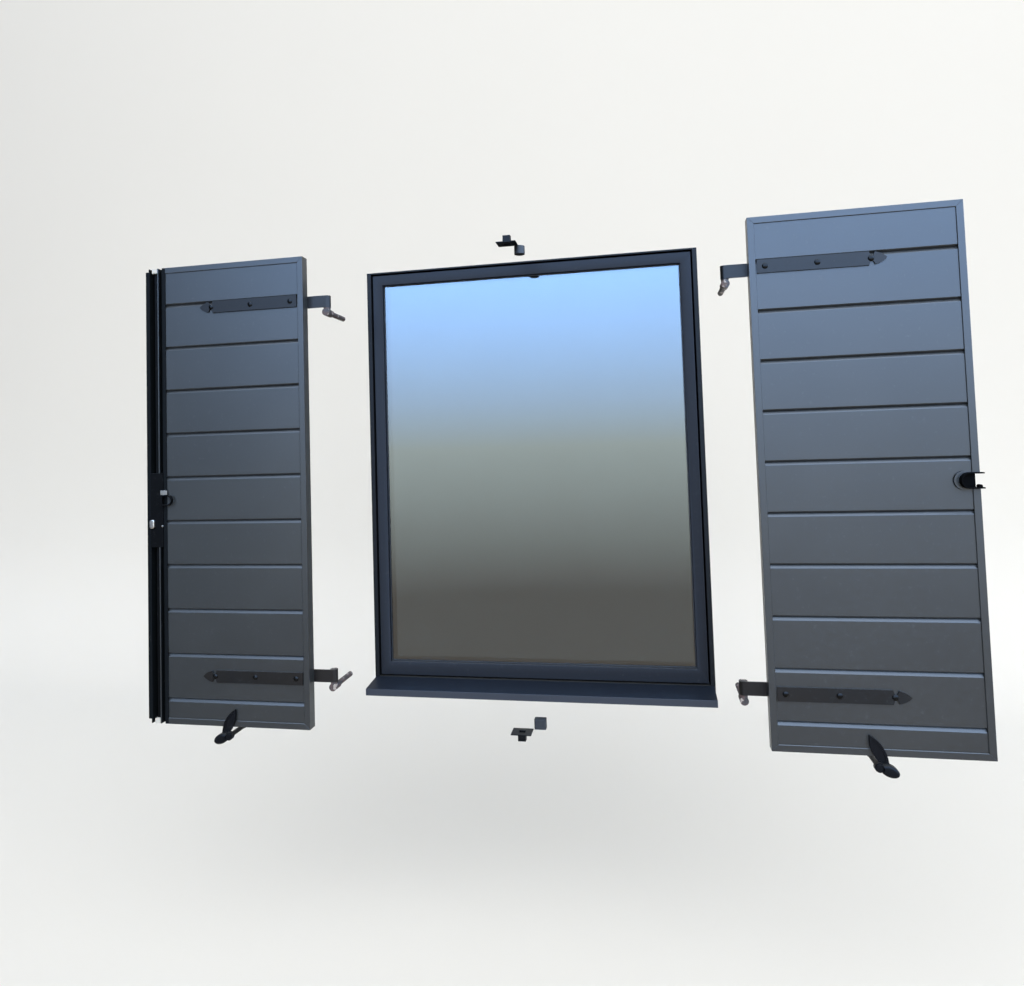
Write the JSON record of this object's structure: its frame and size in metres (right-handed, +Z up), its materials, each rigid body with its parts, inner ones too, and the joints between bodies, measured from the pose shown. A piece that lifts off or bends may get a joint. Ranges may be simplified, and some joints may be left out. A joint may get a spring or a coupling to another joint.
{
  "type": "window shutters",
  "caption": "Hinged board shutters folded open on pintles, with holdbacks, locking rods and the glazed window frame they close off.",
  "frame": {"origin": "the middle of the opening at the wall's outer face, level with the middle of the leaves", "axes": "+X to the right seen from outside, +Y into the wall, +Z up"},
  "size_m": [2.097, 0.2897, 1.307],
  "materials": {
    "leaf_finish": "anthracite satin powder coat on aluminium boards and profiles",
    "strap_finish": "dark satin powder coat on steel strap",
    "bolt_finish": "black coated steel",
    "lock_finish": "black moulded and coated hardware",
    "latch_steel": "zinc-plated steel",
    "guide_plastic": "pale nylon",
    "pintle_iron": "black painted forged iron with some rust",
    "holdback_finish": "black cast aluminium, satin",
    "window_finish": "dark grey satin powder coat",
    "gasket_rubber": "black glazing gasket",
    "glass": "clear double glazing",
    "sill_finish": "dark blue-grey coated sheet",
    "keeper_steel": "black coated steel",
    "stop_rubber": "black rubber"
  },
  "bodies": {
    "root": {"outer_frame": "window_finish", "window_sash": "window_finish", "glazing_gasket": "gasket_rubber", "glazing_unit": "glass", "sill": "sill_finish", "pintles": "pintle_iron", "holdback_shanks": "holdback_finish", "rod_keepers": "keeper_steel", "leaf_stops": "stop_rubber"},
    "left_leaf": {"left_board_01": "leaf_finish", "left_board_02": "leaf_finish", "left_board_03": "leaf_finish", "left_board_04": "leaf_finish", "left_board_05": "leaf_finish", "left_board_06": "leaf_finish", "left_board_07": "leaf_finish", "left_board_08": "leaf_finish", "left_board_09": "leaf_finish", "left_board_10": "leaf_finish", "left_board_11": "leaf_finish", "left_hinge_stile": "leaf_finish", "left_top_rail": "leaf_finish", "left_bottom_rail": "leaf_finish", "lock_stile": "leaf_finish", "astragal": "leaf_finish", "left_upper_strap": "strap_finish", "left_lower_strap": "strap_finish", "left_upper_counter_strap": "strap_finish", "left_lower_counter_strap": "strap_finish", "left_bolts": "bolt_finish", "lock_case": "lock_finish", "latch_tongue": "latch_steel", "rod_guides": "guide_plastic"},
    "right_leaf": {"right_board_01": "leaf_finish", "right_board_02": "leaf_finish", "right_board_03": "leaf_finish", "right_board_04": "leaf_finish", "right_board_05": "leaf_finish", "right_board_06": "leaf_finish", "right_board_07": "leaf_finish", "right_board_08": "leaf_finish", "right_board_09": "leaf_finish", "right_board_10": "leaf_finish", "right_board_11": "leaf_finish", "right_hinge_stile": "leaf_finish", "right_top_rail": "leaf_finish", "right_bottom_rail": "leaf_finish", "right_meeting_stile": "leaf_finish", "right_upper_strap": "strap_finish", "right_lower_strap": "strap_finish", "right_upper_counter_strap": "strap_finish", "right_lower_counter_strap": "strap_finish", "right_bolts": "bolt_finish", "catch_cup": "lock_finish"},
    "lock_handle": {"lock_handle": "lock_finish"},
    "upper_rod": {"upper_rod": "lock_finish"},
    "lower_rod": {"lower_rod": "lock_finish"},
    "left_holdback": {"left_holdback": "holdback_finish"},
    "right_holdback": {"right_holdback": "holdback_finish"}
  },
  "joints": [
    {"name": "left_leaf_swing", "type": "hinge", "parent": "root", "child": "left_leaf", "pos_m": [-0.5165, -0.022, 0], "axis": [0, 0, 1], "range_deg": [0, 180]},
    {"name": "right_leaf_swing", "type": "hinge", "parent": "root", "child": "right_leaf", "pos_m": [0.5165, -0.022, 0], "axis": [0, 0, -1], "range_deg": [0, 180]},
    {"name": "left_holdback_turn", "type": "hinge", "parent": "root", "child": "left_holdback", "pos_m": [-0.793, -0.066, -0.641], "axis": [0, -1, 0], "range_deg": [0, 180]},
    {"name": "right_holdback_turn", "type": "hinge", "parent": "root", "child": "right_holdback", "pos_m": [0.793, -0.066, -0.641], "axis": [0, 1, 0], "range_deg": [0, 180]},
    {"name": "lock_handle_turn", "type": "hinge", "parent": "left_leaf", "child": "lock_handle", "pos_m": [-0.9925, -0.066, -0.021], "axis": [0, 1, 0], "range_deg": [0, 90]},
    {"name": "upper_rod_slide", "type": "slide", "parent": "left_leaf", "child": "upper_rod", "axis": [0, 0, 1], "range_m": [0, 0.018]},
    {"name": "lower_rod_slide", "type": "slide", "parent": "left_leaf", "child": "lower_rod", "axis": [0, 0, -1], "range_m": [0, 0.018]}
  ],
  "couplings": [
    {"joint": "upper_rod_slide", "follows": "lock_handle_turn", "m_per_rad": 0.011459},
    {"joint": "lower_rod_slide", "follows": "lock_handle_turn", "m_per_rad": 0.011459}
  ]
}
